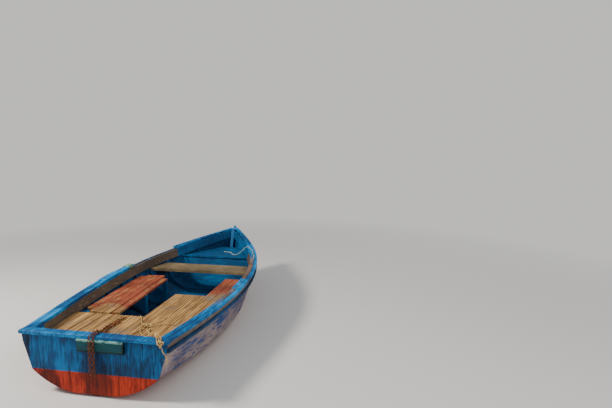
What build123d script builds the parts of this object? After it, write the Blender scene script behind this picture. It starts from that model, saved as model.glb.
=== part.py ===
"""A small wooden rowing boat with a square stern, built plank by plank.

Frame: +X towards the bow, +Y to port, +Z up, in millimetres. The origin is on the ground
under the middle of the boat's length. "Place" is a distance forward of the transom's outer
face, and "up" is a height above the underside of the bottom plank.
"""

import os
from collections import namedtuple
from math import cos, hypot, radians, sin, tan

import numpy as np
from build123d import *

os.makedirs("parts", exist_ok=True)

# Hull lines. Each row is one station, measured to the outside of the planking. The last
# station is the stem, which leans forward.
Station = namedtuple("Station", "place sheer_half sheer_up chine_half chine_up floor_half bilge_round")
hood_half = 45
stations = (
    Station(0, 538, 410, 472, 152, 150, 28),
    Station(630, 652, 412, 548, 85, 225, 22),
    Station(1270, 708, 435, 598, 86, 270, 20),
    Station(1900, 644, 478, 528, 128, 232, 17),
    Station(2500, 416, 538, 306, 215, 125, 11),
    Station(2885, hood_half, 621, hood_half, 330, hood_half, 4),
)
stem_rake = 20
straight_keel = 1250
forefoot_rise = 150
side_round = 9
rub_drop = 58

# Planking and the joints between its pieces
plank_thick = 18
seam = 0.5
joint = 0.3
cap_joint = 0.6
keel_depth = 22
keel_width = 52
runner_width = 34
runner_inset = 30
runner_aft = 240
runner_fore = 1500
keel_aft = 20
section_count = 11

# Transom with its rail, the knees in its corners and the pad for an outboard motor
transom_thick = 28
rail_overhang = 14
rail_width = 66
rail_side_overhang = 20
rail_corner = 10
knee_leg = 130
knee_thick = 22
pad_port = 105
pad_starboard = 245
pad_height = 88
pad_thick = 24
pad_drop = 1
pad_edge = 3

# Stem
stem_length = 48
stem_nose_half = 14
stem_head_rise = 36
apron_half = 21
apron_length = 62

# Gunwale: a cap of two strips on top, a plank inside the frames and a strake outside
cap_thick = 24
cap_overhang = 12
cap_width = 80
cap_split = 34
cap_slot = 2
cap_end_width = 30
cap_taper_place = 2300
port_cap_end = 1490
port_cap_again = 2215
thole_block_length = 125
thole_first_place = 1150
thole_places = (thole_first_place, thole_first_place + thole_block_length)
thole_inset = 48
thole_radius = 8
thole_block_rise = 6
thole_bush_wall = 3
thole_bush_lift = 8
thole_block_sections = 3
rowlock_pad_length = 100
rowlock_pad_width = 62
rowlock_pad_thick = 30
rowlock_pad_edge = 4
inwale_thick = 18
inwale_depth = 84
inwale_joint_place = 2190
strake_depth = 36
strake_thick = 20
strake_bevel = 6

# Frames
frame_first = 160
frame_pitch = 240
frame_count = 9
frame_width = 28
frame_depth = 30
floor_timber_depth = 42
floor_timber_reach = 0.86

# Seats
board_thick = 20
board_slot = 6
board_clear = 6
bench_drop = 60
bench_up = stations[0].sheer_up - bench_drop
bearer_depth = 32
bearer_width = 40
riser_depth = 44
riser_thick = 34
riser_fore_place = 1740
leg_width = 36
sheets_fore = 566
sheets_aft_gap = 4
sheet_count = 6
starboard_boards_edge = -60
starboard_wide_fore = 1135
starboard_wide_count = 3
starboard_bench_fore = 1690
starboard_bench_edge = -362
starboard_bench_board = 88
starboard_outer_aft = 190
bench_turn = 3.6
bench_inner_aft = (600, 186)
bench_plank_width = 60
# Port bench planks from inboard to outboard: aft end and fore end along the bench, gap inboard
BenchPlank = namedtuple("BenchPlank", "aft fore slot")
bench_planks = (
    BenchPlank(10, 985, 0),
    BenchPlank(0, 1095, 14),
    BenchPlank(0, 1095, 6),
    BenchPlank(15, 1090, 6),
    BenchPlank(95, 1050, 6),
)

# Thwart and bow seat
thwart_aft = 1826
thwart_strip_width = 46
thwart_slot = 7
thwart_width = 200
thwart_thick = 30
thwart_rest = 1
cleat_depth = 40
cleat_thick = 20
cleat_reach = 30
bow_seat_up = 420
bow_seat_place = 2352
bow_seat_board = 132
bow_seat_count = 4
bow_seat_thick = 18
bulkhead_thick = 15
bulkhead_setback = 22
hull_clear = 0.5
bow_cleat_thick = 24
bow_cleat_depth = 34

# Ropes: a lashing over the starboard quarter with its knots, and a painter at the bow
rope_thick = 9
rope_end_thick = 7
painter_thick = 8
rope_clear = 3
inner_knot_place = 375
inner_knot_side = -205
inner_knot_size = (70, 60, 28)
outer_knot_side = -518
outer_knot_up = 426
outer_knot_size = (27, 52, 60)
knot_round = 8

# Chain in two strands over the transom, its links flat and on edge by turns
link_wire = 4
link_inner_length = 22
link_play = 0.8
link_width = 19
link_corner = 5
link_inner_corner = 1
chain_half_width = link_width / 2
chain_clear = 0.6
chain_outside = pad_thick + chain_half_width + chain_clear
chain_gap = 27
chain_low = 150


def batten(places, marks):
    """A batten bent through the marks: a natural cubic curve, as a function of the place."""
    spans = np.diff(places)
    last = len(places) - 1
    stiffness = np.zeros((last + 1, last + 1))
    load = np.zeros(last + 1)
    stiffness[0, 0] = stiffness[last, last] = 1
    for i in range(1, last):
        before, after = spans[i - 1], spans[i]
        stiffness[i, i - 1 : i + 2] = before, 2 * (before + after), after
        load[i] = 6 * ((marks[i + 1] - marks[i]) / after - (marks[i] - marks[i - 1]) / before)
    bend = np.linalg.solve(stiffness, load)

    def height(place):
        i = min(max(int(np.searchsorted(places, place)) - 1, 0), last - 1)
        span = spans[i]
        near, far = places[i + 1] - place, place - places[i]
        cubic = (bend[i] * near**3 + bend[i + 1] * far**3) / (6 * span)
        start = (marks[i] / span - bend[i] * span / 6) * near
        finish = (marks[i + 1] / span - bend[i + 1] * span / 6) * far
        return float(cubic + start + finish)

    return height


stem_foot = stations[-1].place
lean_rise = tan(radians(stem_rake))


def line_of(half, up):
    """The half breadth and height of one hull line, each as a function of the place."""
    places = [s.place for s in stations]
    places[-1] += getattr(stations[-1], up) * lean_rise
    return (
        batten(places, [getattr(s, half) for s in stations]),
        batten(places, [getattr(s, up) for s in stations]),
    )


def keel_up(place):
    """The bottom is straight aft and sweeps up to the stem."""
    past = max(0, place - straight_keel) / (stem_foot - straight_keel)
    return forefoot_rise * past**3


sheer_line = line_of("sheer_half", "sheer_up")
chine_line = line_of("chine_half", "chine_up")
floor_places = [s.place for s in stations]
floor_places[-1] += forefoot_rise * lean_rise
floor_line = (batten(floor_places, [s.floor_half for s in stations]), keel_up)
bilge_round = batten([s.place for s in stations], [s.bilge_round for s in stations])

# The origin lies midway between the chain over the transom and the stem head
stem_head_place = stem_foot + (stations[-1].sheer_up + cap_thick + stem_head_rise) * lean_rise
bow_reach = stem_head_place + stem_length * cos(radians(stem_rake))
stern_reach = chain_outside + chain_half_width
middle = (bow_reach - stern_reach) / 2
planking_start = transom_thick + joint


class Section:
    """The hull cut by a plane across it, which leans forward more and more towards the stem.

    Outline points are (half breadth, rise), with the rise measured up the leaning plane.
    """

    def __init__(self, place):
        share = (place - planking_start) / (stem_foot - planking_start)
        self.place = place
        self.lean = radians(stem_rake) * max(0, share) ** 3
        floor, chine, sheer = (self.crossing(line) for line in (floor_line, chine_line, sheer_line))
        slope = (sheer_line[0](place + 5) - sheer_line[0](place - 5)) / 10 if share < 1 else 0
        if share >= 1:
            slope = (sheer_line[0](place) - sheer_line[0](place - 10)) / 10
        self.thick = plank_thick * hypot(1, slope)
        garboard = self.bulged(floor, chine, bilge_round(min(place, stem_foot)))
        rub = self.along(chine, sheer, 1 - rub_drop / (sheer[1] - chine[1]))
        swell = side_round * (1 - max(0, share) ** 2)
        rub = (rub[0] + swell, rub[1])
        self.outer = ((0, floor[1]), floor, garboard, chine, rub, sheer)
        self.swell = bilge_round(min(place, stem_foot)) / 4

    def crossing(self, line):
        """Where the leaning plane crosses a hull line."""
        half, up = line
        place = self.place
        for _ in range(12):
            place = self.place + up(place) * tan(self.lean)
        return half(place), up(place) / cos(self.lean)

    @staticmethod
    def along(start, end, share):
        return tuple(a + (b - a) * share for a, b in zip(start, end))

    @staticmethod
    def bulged(start, end, rise):
        """The middle of a chord, moved outward and down by the rise of its arc."""
        run, climb = end[0] - start[0], end[1] - start[1]
        length = hypot(run, climb)
        return (
            (start[0] + end[0]) / 2 + rise * climb / length,
            (start[1] + end[1]) / 2 - rise * run / length,
        )

    def inset(self, depth):
        """The outline moved inward by a depth, with mitred corners and a level top."""
        points = self.outer
        ways = []
        for a, b in zip(points, points[1:]):
            length = hypot(b[0] - a[0], b[1] - a[1])
            ways.append(((b[0] - a[0]) / length, (b[1] - a[1]) / length))
        moved = [(0, points[0][1] + depth)]
        for point, (ax, ay), (bx, by) in zip(points[1:], ways, ways[1:]):
            share = depth / (1 + ax * bx + ay * by)
            moved.append((point[0] - (ay + by) * share, point[1] + (ax + bx) * share))
        top, (_, climb) = points[-1], ways[-1]
        moved.append((top[0] - depth / climb, top[1]))
        return moved

    def half_at(self, depth, rise):
        """The half breadth at a rise, on the outline moved inward by a depth."""
        points = self.inset(depth)
        for low, high in zip(points, points[1:]):
            if rise <= high[1]:
                break
        share = (rise - low[1]) / (high[1] - low[1])
        return low[0] + (high[0] - low[0]) * share

    def rise_of(self, up):
        return up / cos(self.lean)

    def plane(self):
        return Plane(
            origin=(self.place - middle, 0, keel_depth),
            x_dir=(0, 1, 0),
            z_dir=(cos(self.lean), 0, -sin(self.lean)),
        )

    def face(self, corners, bulges=None):
        """A face in this plane, with an arc on each side whose bulge isn't zero."""
        count = len(corners)
        bulges = bulges or [0] * count
        with BuildSketch(self.plane()) as sketch:
            with BuildLine():
                for i, bulge in enumerate(bulges):
                    start, end = corners[i], corners[(i + 1) % count]
                    if bulge:
                        ThreePointArc(start, self.bulged(start, end, bulge), end)
                    else:
                        Line(start, end)
            make_face()
        return sketch.sketch.face()


def sections(first, last, count=section_count):
    """Sections at even places from the first to the last."""
    return [Section(first + (last - first) * i / (count - 1)) for i in range(count)]


def section_through(place, up):
    """The section whose leaning plane holds the points at this place and height."""
    section = Section(place)
    for _ in range(6):
        section = Section(place - up * tan(section.lean))
    return section


def inside(place, up, depth):
    """Half breadth at a place and a height, a depth in from the planks' inner face."""
    section = section_through(place, up)
    return section.half_at(section.thick + depth, section.rise_of(up))


def finish(name, part):
    part.label = name
    export_step(part, f"parts/{name}.step")


def finish_pair(name, port):
    """A port piece and its mirror image to starboard."""
    with BuildPart() as starboard:
        mirror(port.part, about=Plane.XZ)
    finish(f"{name}_port", port.part)
    finish(f"{name}_starboard", starboard.part)


# Planking

hull = sections(planking_start, stem_foot)


def strake_face(section, edge, curved):
    """One plank's section between two neighbouring points of the outline."""
    inner = section.inset(section.thick)
    low, high = section.outer[edge], section.outer[edge + 1]
    low_in, high_in = inner[edge], inner[edge + 1]
    length = hypot(high[0] - low[0], high[1] - low[1])
    step = ((high[0] - low[0]) / length * seam / 2, (high[1] - low[1]) / length * seam / 2)
    corners = (
        (low[0] + step[0], low[1] + step[1]),
        (high[0] - step[0], high[1] - step[1]),
        (high_in[0] - step[0], high_in[1] - step[1]),
        (low_in[0] + step[0], low_in[1] + step[1]),
    )
    swell = section.swell if curved else 0
    return section.face(corners, (swell, 0, -swell, 0))


with BuildPart() as garboard:
    loft([strake_face(s, 1, True) for s in hull])
finish_pair("garboard", garboard)

with BuildPart() as bilge_plank:
    loft([strake_face(s, 2, True) for s in hull])
finish_pair("bilge_plank", bilge_plank)

with BuildPart() as topside_plank:
    loft([strake_face(s, 3, False) for s in hull])
finish_pair("topside_plank", topside_plank)

with BuildPart() as sheer_plank:
    loft([strake_face(s, 4, False) for s in hull])
finish_pair("sheer_plank", sheer_plank)


def bottom_face(section):
    low, high = section.outer[1], section.inset(section.thick)[1]
    edge, top = low[0] - seam / 2, high[0] - seam / 2
    return section.face(((-edge, low[1]), (edge, low[1]), (top, high[1]), (-top, high[1])))


with BuildPart() as bottom_plank:
    loft([bottom_face(s) for s in hull])
finish("bottom_plank", bottom_plank.part)


def strip_face(section, left, right, depth):
    """A strip under the bottom plank."""
    top = section.outer[0][1] - joint
    low = section.outer[0][1] - section.rise_of(depth)
    return section.face(((left, low), (right, low), (right, top), (left, top)))


with BuildPart() as keel:
    loft([strip_face(s, -keel_width / 2, keel_width / 2, keel_depth) for s in sections(keel_aft, stem_foot)])
finish("keel", keel.part)

with BuildPart() as runner:
    runner_faces = []
    for s in sections(runner_aft, runner_fore):
        edge = floor_line[0](s.place) - runner_inset
        runner_faces.append(strip_face(s, edge - runner_width, edge, keel_depth))
    loft(runner_faces)
finish_pair("bottom_runner", runner)

# Transom

stern = Section(planking_start)
with BuildPart() as transom:
    with BuildSketch(Plane.YZ.offset(-middle)):
        with BuildLine():
            port_side = [(y, z + keel_depth) for y, z in stern.outer]
            starboard_side = [(-y, z) for y, z in port_side]
            for outline, way in ((port_side, 1), (starboard_side, -1)):
                Line(outline[0], outline[1])
                for low, high in zip(outline[1:3], outline[2:4]):
                    out = stern.bulged((low[0] * way, low[1]), (high[0] * way, high[1]), stern.swell)
                    ThreePointArc(low, (out[0] * way, out[1]), high)
                Line(outline[3], outline[4])
                Line(outline[4], outline[5])
            Line(port_side[5], starboard_side[5])
        make_face()
    extrude(amount=transom_thick)
finish("transom", transom.part)

rail_up = stern.outer[-1][1] + cap_joint
rail_half = stern.outer[-1][0] + rail_side_overhang
rail_fore = rail_width - rail_overhang
with BuildPart() as transom_rail:
    with BuildSketch(Plane.XY.offset(keel_depth + rail_up)):
        with Locations((rail_width / 2 - rail_overhang - middle, 0)):
            RectangleRounded(rail_width, 2 * rail_half, rail_corner)
    extrude(amount=cap_thick)
    chamfer(transom_rail.faces().sort_by(Axis.Z)[-1].edges(), 2.5)
finish("transom_rail", transom_rail.part)

pad_top = keel_depth + rail_up - pad_drop
with BuildPart() as motor_pad:
    with BuildSketch(Plane.YZ.offset(-middle - joint)):
        with Locations(((pad_port - pad_starboard) / 2, pad_top - pad_height / 2)):
            Rectangle(pad_port + pad_starboard, pad_height)
    extrude(amount=-pad_thick)
    chamfer(motor_pad.faces().sort_by(Axis.X)[0].edges(), pad_edge)
finish("motor_pad", motor_pad.part)

inwale_inset = frame_depth + joint
inwale_inner = inwale_inset + inwale_thick
with BuildPart() as quarter_knee:
    knee_start = transom_thick + joint
    knee_up = rail_up - cap_joint - joint - knee_thick
    with BuildSketch(Plane.XY.offset(keel_depth + knee_up)):
        near = inside(knee_start, knee_up, inwale_inner) - board_clear / 2
        far = inside(knee_start + knee_leg, knee_up, inwale_inner) - board_clear / 2
        knee_corner = (knee_start - middle, near)
        knee_aft = (knee_start - middle, near - knee_leg)
        knee_fore = (knee_start + knee_leg - middle, far)
        with BuildLine():
            Line(knee_corner, knee_aft)
            hollow = (knee_start + knee_leg * 0.38 - middle, near - knee_leg * 0.38)
            ThreePointArc(knee_aft, hollow, knee_fore)
            Line(knee_fore, knee_corner)
        make_face()
    extrude(amount=knee_thick)
finish_pair("quarter_knee", quarter_knee)

# Stem: the post outside the planks' ends, and the apron between them

bow = Section(stem_foot)
lean = radians(stem_rake)
lean_way = Vector(sin(lean), 0, cos(lean))
ahead_way = Vector(cos(lean), 0, -sin(lean))
bow_origin = Vector(stem_foot - middle, 0, keel_depth)


def stem_plane(rise):
    """A plane square to the stem, at a rise above the bottom."""
    return Plane(origin=bow_origin + lean_way * rise, x_dir=ahead_way, z_dir=lean_way)


stem_low = bow.outer[0][1] - bow.rise_of(keel_depth)
cap_top = bow.outer[-1][1] + cap_joint + cap_thick
with BuildPart() as stem:
    with BuildSketch(stem_plane(stem_low)):
        with BuildLine():
            Polyline(
                (joint, -hood_half),
                (joint, hood_half),
                (stem_length, stem_nose_half),
                (stem_length, -stem_nose_half),
                close=True,
            )
        make_face()
    extrude(amount=cap_top - stem_low)
    with BuildSketch(stem_plane(cap_top)):
        with Locations((stem_length / 2 + joint, 0)):
            Rectangle(stem_length - 3 * joint, 2 * stem_nose_half)
    extrude(amount=stem_head_rise)
    chamfer(stem.faces().sort_by(Axis.Z)[-1].edges(), 4)
finish("stem", stem.part)

apron_low = bow.outer[0][1] + plank_thick * 2.6
apron_high = bow.outer[-1][1] - joint
with BuildPart() as apron:
    with BuildSketch(stem_plane(apron_low)):
        with Locations((-apron_length / 2 - joint, 0)):
            Rectangle(apron_length, 2 * apron_half)
    extrude(amount=apron_high - apron_low)
finish("apron", apron.part)

# Gunwale


def cap_faces(first, last, strip, count=section_count, thick=cap_thick):
    """Sections of the cap, or of its outer or inner strip, with a slot between the two."""
    faces = []
    for section in sections(first, last, count):
        taper = max(0, section.place - cap_taper_place) / (stem_foot - cap_taper_place)
        width = cap_width + (cap_end_width - cap_width) * taper
        half, rise = section.outer[-1]
        outer = half + cap_overhang
        inner = outer - width
        split = outer - width * cap_split / cap_width
        if strip == "outer":
            inner = split + cap_slot / 2
        if strip == "inner":
            outer = split - cap_slot / 2
        low, high = rise + cap_joint, rise + cap_joint + thick
        faces.append(section.face(((inner, low), (outer, low), (outer, high), (inner, high))))
    return faces


# The cap is cut on each side for two blocks, which hold the thole pins
cap_start = rail_fore + joint
blocks_aft = thole_places[0] - thole_block_length / 2
blocks_fore = thole_places[-1] + thole_block_length / 2
for name, lengths, side in (
    ("gunwale_starboard", ((cap_start, blocks_aft), (blocks_fore, stem_foot)), -1),
    ("gunwale_port_aft", ((cap_start, blocks_aft), (blocks_fore, port_cap_end)), 1),
    ("gunwale_port_bow", ((port_cap_again, stem_foot),), 1),
):
    with BuildPart() as gunwale:
        for first, last in lengths:
            for strip in ("outer", "inner"):
                loft(cap_faces(first, last, strip))
    if side < 0:
        with BuildPart() as gunwale_mirrored:
            mirror(gunwale.part, about=Plane.XZ)
        finish(name, gunwale_mirrored.part)
    else:
        finish(name, gunwale.part)


def thole_spot(place):
    """The middle of a thole hole on the port side, at the underside of the cap."""
    section = section_through(place, sheer_line[1](place))
    half = section.outer[-1][0] + cap_overhang - thole_inset
    return place - middle, half, keel_depth + sheer_line[1](place) + cap_joint


with BuildPart() as thole_blocks:
    block_thick = cap_thick + thole_block_rise
    for place in thole_places:
        reach = thole_block_length / 2 - joint
        loft(cap_faces(place - reach, place + reach, "whole", thole_block_sections, block_thick))
        with Locations(thole_spot(place)):
            Hole(thole_radius + thole_bush_wall + joint, 4 * cap_thick)
finish_pair("thole_blocks", thole_blocks)

# Bushes that line the thole holes
thole_spots = [thole_spot(place) for place in thole_places]
with BuildPart() as thole_bushes:
    for side in (-1, 1):
        with Locations(*[(x, side * half, low + thole_bush_lift) for x, half, low in thole_spots]):
            Cylinder(
                thole_radius + thole_bush_wall,
                cap_thick + thole_block_rise - thole_bush_lift,
                align=(Align.CENTER, Align.CENTER, Align.MIN),
            )
            Hole(thole_radius, 4 * cap_thick)
finish("thole_bushes", thole_bushes.part)

# Block for a rowlock where the port cap is missing
with BuildPart() as rowlock_pad:
    cap_end = Section(port_cap_end)
    pad_start = port_cap_end + (cap_end.outer[-1][1] + 2 * cap_thick) * sin(cap_end.lean)
    pad_end = pad_start + rowlock_pad_length
    pad_low = max(sheer_line[1](pad_start), sheer_line[1](pad_end)) + cap_joint
    pad_half = sheer_line[0]((pad_start + pad_end) / 2) + cap_overhang - rowlock_pad_width / 2
    with BuildSketch(Plane.XY.offset(keel_depth + pad_low)):
        with Locations(((pad_start + pad_end) / 2 - middle, pad_half)):
            Rectangle(rowlock_pad_length, rowlock_pad_width)
    extrude(amount=rowlock_pad_thick)
    chamfer(rowlock_pad.faces().sort_by(Axis.Z)[-1].edges(), rowlock_pad_edge)
finish("rowlock_pad", rowlock_pad.part)


def lining_faces(first, last, depth, thick, top_up=None, height=None, count=section_count):
    """Sections of a timber laid along the side, a depth in from the planks' inner face.

    It hangs from the sheer, or stands with its top at a level when one is given.
    """
    faces = []
    for section in sections(first, last, count):
        high = section.outer[-1][1] - joint if top_up is None else section.rise_of(top_up)
        low = high - height
        top_half = section.half_at(section.thick + depth, high)
        low_half = section.half_at(section.thick + depth, low)
        faces.append(
            section.face(((low_half - thick, low), (low_half, low), (top_half, high), (top_half - thick, high)))
        )
    return faces


with BuildPart() as inwale:
    loft(lining_faces(planking_start + joint, inwale_joint_place, inwale_inset, inwale_thick, height=inwale_depth))
finish_pair("inwale", inwale)

# The inwales end where they meet the sides of the apron
def inwale_inner_half(section):
    return section.inset(section.thick + inwale_inner)[-1][0]


inwale_fore = inwale_joint_place
while inwale_inner_half(Section(inwale_fore)) > apron_half + board_clear:
    inwale_fore += 1
with BuildPart() as bow_inwale:
    loft(lining_faces(inwale_joint_place + joint, inwale_fore, inwale_inset, inwale_thick, height=inwale_depth))
finish_pair("bow_inwale", bow_inwale)


def inwale_face_half(place, up):
    """Half breadth to the inner face of the inwale at a place and a height."""
    section = section_through(place, up)
    high = section.outer[-1][1] - joint
    low = high - inwale_depth
    top_half = section.half_at(section.thick + inwale_inset, high)
    low_half = section.half_at(section.thick + inwale_inset, low)
    share = (section.rise_of(up) - low) / (high - low)
    return low_half + (top_half - low_half) * share - inwale_thick


with BuildPart() as rubbing_strake:
    rub_faces = []
    for s in hull:
        half, rise = s.outer[4]
        low, high = rise - strake_depth / 2, rise + strake_depth / 2
        low_half, high_half = s.half_at(0, low), s.half_at(0, high)
        proud = half - (low_half + high_half) / 2 + joint
        back_low, back_high = (low_half + proud, low), (high_half + proud, high)
        front_low = (back_low[0] + strake_thick, low + strake_bevel)
        front_high = (back_high[0] + strake_thick, high - strake_bevel)
        rub_faces.append(s.face((back_low, front_low, front_high, back_high)))
    loft(rub_faces)
finish_pair("rubbing_strake", rubbing_strake)

# Frames

frame_places = [frame_first + frame_pitch * i for i in range(frame_count)]


def frame_face(place):
    """A bent frame's section from the middle of the bilge up to the sheer."""
    section = Section(place)
    outer = section.inset(section.thick + hull_clear)[2:]
    inner = section.inset(section.thick + frame_depth)[2:]
    outer[-1] = (outer[-1][0], outer[-1][1] - joint)
    inner[-1] = (inner[-1][0], inner[-1][1] - joint)
    return section.face(outer + inner[::-1])


with BuildPart() as side_frames:
    for place in frame_places:
        loft([frame_face(place - frame_width / 2), frame_face(place + frame_width / 2)], ruled=True)
finish_pair("side_frames", side_frames)


def floor_timber_face(place):
    """A floor timber's section, level on top, from bilge to bilge."""
    section = Section(place)
    centre, floor, garboard = section.inset(section.thick + hull_clear)[:3]
    end = Section.along(floor, garboard, floor_timber_reach)
    top = centre[1] + floor_timber_depth
    top = max(top, end[1] + floor_timber_depth / 3)
    return section.face(
        ((-floor[0], floor[1]), floor, end, (end[0], top), (-end[0], top), (-end[0], end[1])),
    )


with BuildPart() as floor_timbers:
    for place in frame_places:
        loft([floor_timber_face(place - frame_width / 2), floor_timber_face(place + frame_width / 2)], ruled=True)
finish("floor_timbers", floor_timbers.part)

# Seats along the sides

bench_low = bench_up - board_thick
bearer_low = bench_low - bearer_depth

with BuildPart() as riser:
    loft(
        lining_faces(
            planking_start + joint,
            riser_fore_place,
            inwale_inset,
            riser_thick,
            top_up=bearer_low - joint,
            height=riser_depth,
        )
    )
finish_pair("seat_riser", riser)


def board_edge(place, up, side=1):
    """How far outboard a seat board may reach, clear of the plank inside the frames."""
    return side * (min(inwale_face_half(place, up), inwale_face_half(place, up - board_thick)) - board_clear)


def laid_board(corners):
    """A seat board from its corners, given as (place, half breadth)."""
    with BuildPart() as board:
        with BuildSketch(Plane.XY.offset(keel_depth + bench_low)):
            with BuildLine():
                Polyline(*[(place - middle, half) for place, half in corners], close=True)
            make_face()
        extrude(amount=board_thick)
    return board.part


def straight_board(first, last, near, far):
    return laid_board(((first, near), (last, near), (last, far), (first, far)))


def side_board(first, last, near, side):
    """The outermost board, cut to the curve of the boat's side."""
    places = [first + (last - first) * i / 6 for i in range(7)]
    rim = [(place, board_edge(place, bench_up, side)) for place in places]
    return laid_board([(last, near), (first, near)] + rim)


sheets_first = planking_start + sheets_aft_gap
sheet_pitch = (board_edge(sheets_first, bench_up) - starboard_boards_edge) / sheet_count
with BuildPart() as stern_sheets:
    for number in range(sheet_count - 1):
        near = starboard_boards_edge + sheet_pitch * number
        add(straight_board(sheets_first, sheets_fore, near, near + sheet_pitch - board_slot))
    add(side_board(sheets_first, sheets_fore, near + sheet_pitch, 1))
finish("stern_sheets", stern_sheets.part)

wide_pitch = (starboard_boards_edge - starboard_bench_edge) / starboard_wide_count
with BuildPart() as starboard_boards:
    for number in range(starboard_wide_count):
        near = starboard_boards_edge - board_slot - wide_pitch * number
        add(straight_board(sheets_first, starboard_wide_fore, near, near - wide_pitch + board_slot))
finish("starboard_boards", starboard_boards.part)

with BuildPart() as starboard_bench:
    near = starboard_bench_edge - board_slot
    far = near - starboard_bench_board
    add(straight_board(sheets_first, starboard_bench_fore, near, far))
    add(side_board(starboard_outer_aft, starboard_bench_fore, far - board_slot, -1))
finish("starboard_bench", starboard_bench.part)

with BuildPart() as port_bench:
    with BuildSketch(
        Plane(
            origin=(bench_inner_aft[0] - middle, bench_inner_aft[1], keel_depth + bench_low),
            x_dir=(cos(radians(bench_turn)), sin(radians(bench_turn)), 0),
            z_dir=(0, 0, 1),
        )
    ):
        across = 0
        for plank in bench_planks:
            across += plank.slot
            with Locations(((plank.aft + plank.fore) / 2, across + bench_plank_width / 2)):
                Rectangle(plank.fore - plank.aft, bench_plank_width)
            across += bench_plank_width
    extrude(amount=board_thick)
finish("port_bench", port_bench.part)

# Bearers under the seats, with a leg at each free end that stands on a floor timber
# Columns: frame counted from the stern, how far ahead of it, starboard end, port end (None runs
# to the boat's side), places of the legs
Bearer = namedtuple("Bearer", "frame ahead starboard port legs")
bearers = (
    Bearer(0, -60, None, None, ()),
    Bearer(1, 0, None, None, (-150, 150)),
    Bearer(4, -8, None, -66, (-84,)),
    Bearer(6, 0, None, -366, (-384,)),
    Bearer(2, 0, 196, None, (214,)),
    Bearer(4, 0, 222, None, (240,)),
    Bearer(6, 0, 262, None, (280,)),
)


def bearer_reach(place):
    """How far a bearer reaches over the riser, clear of the inwale."""
    return min(inwale_face_half(place, up) for up in (bearer_low, bench_low)) - board_clear


def block(first, last, near, far, low_up, high_up):
    """A squared timber between two places, two half breadths and two heights."""
    with BuildPart() as timber:
        with BuildSketch(Plane.XY.offset(keel_depth + low_up)):
            with Locations(((first + last) / 2 - middle, (near + far) / 2)):
                Rectangle(last - first, far - near)
        extrude(amount=high_up - low_up)
    return timber.part


def floor_top(place):
    """The height of a floor timber's top at a place."""
    tops = []
    for section in (Section(place - frame_width / 2), Section(place + frame_width / 2)):
        centre, floor, garboard = section.inset(section.thick + hull_clear)[:3]
        end = Section.along(floor, garboard, floor_timber_reach)
        tops.append(max(centre[1] + floor_timber_depth, end[1] + floor_timber_depth / 3))
    return max(tops)


with BuildPart() as seat_bearers:
    for bearer in bearers:
        first = frame_places[bearer.frame] + bearer.ahead - bearer_width / 2
        last = first + bearer_width
        reach = min(bearer_reach(first), bearer_reach(last))
        near = -reach if bearer.starboard is None else bearer.starboard
        far = reach if bearer.port is None else bearer.port
        add(block(first, last, near, far, bearer_low, bench_low - joint))
finish("seat_bearers", seat_bearers.part)

with BuildPart() as seat_legs:
    for bearer in bearers:
        foot = frame_places[bearer.frame]
        for leg in bearer.legs:
            near, far = leg - leg_width / 2, leg + leg_width / 2
            first = foot - frame_width / 2
            add(block(first, first + frame_width, near, far, floor_top(foot) + joint, bearer_low - joint))
finish("seat_legs", seat_legs.part)

# Thwart, carried by a cleat on each side under the plank inside the frames

thwart_section = section_through(thwart_aft, bench_up)
inwale_low = (thwart_section.outer[-1][1] - joint - inwale_depth) * cos(thwart_section.lean)
thwart_top = inwale_low - thwart_rest
thwart_low = thwart_top - thwart_thick
thwart_fore = thwart_aft + thwart_strip_width + thwart_slot + thwart_width


def cross_board(first, last, low_up, thick, depth, clear):
    """A board across the boat whose ends are cut to the side."""
    with BuildPart() as board:
        aft_half = min(inside(first, up, depth) for up in (low_up, low_up + thick)) - clear
        fore_half = min(inside(last, up, depth) for up in (low_up, low_up + thick)) - clear
        corners = ((first, -aft_half), (first, aft_half), (last, fore_half), (last, -fore_half))
        with BuildSketch(Plane.XY.offset(keel_depth + low_up)):
            with BuildLine():
                Polyline(*[(place - middle, half) for place, half in corners], close=True)
            make_face()
        extrude(amount=thick)
    return board.part


with BuildPart() as thwart:
    strip_fore = thwart_aft + thwart_strip_width
    add(cross_board(thwart_aft, strip_fore, thwart_low, thwart_thick, inwale_inset, board_clear))
    add(cross_board(strip_fore + thwart_slot, thwart_fore, thwart_low, thwart_thick, inwale_inset, board_clear))
finish("thwart", thwart.part)

with BuildPart() as thwart_cleat:
    loft(
        lining_faces(
            thwart_aft - cleat_reach,
            thwart_fore + cleat_reach,
            inwale_inset,
            cleat_thick,
            top_up=thwart_low - joint,
            height=cleat_depth,
            count=4,
        )
    )
finish_pair("thwart_cleat", thwart_cleat)

# Bow seat on its bulkhead and its cleats

bow_seat_low = bow_seat_up - bow_seat_thick
with BuildPart() as bow_seat:
    for number in range(bow_seat_count):
        first = bow_seat_place + bow_seat_board * number
        last = first + bow_seat_board - board_slot / 2
        add(cross_board(first, last, bow_seat_low, bow_seat_thick, 0, board_clear / 2))
finish("bow_seat", bow_seat.part)

bulkhead_foot = bow_seat_place + bulkhead_setback - bow_seat_low * tan(Section(bow_seat_place).lean)
bow_seat_fore = bow_seat_place + bow_seat_board * bow_seat_count
with BuildPart() as bow_seat_cleat:
    cleat_top = bow_seat_low - joint
    loft(
        lining_faces(
            bulkhead_foot + bulkhead_thick + joint,
            bow_seat_fore - cleat_top * lean_rise,
            hull_clear,
            bow_cleat_thick,
            top_up=cleat_top,
            height=bow_cleat_depth,
        )
    )
finish_pair("bow_seat_cleat", bow_seat_cleat)


def bulkhead_face(place):
    section = Section(place)
    points = section.inset(section.thick + hull_clear)
    top = section.rise_of(bow_seat_low - joint)
    side = [point for point in points[1:] if point[1] < top]
    side.append((section.half_at(section.thick + hull_clear, top), top))
    return section.face(side + [(-half, rise) for half, rise in side[::-1]])


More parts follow.
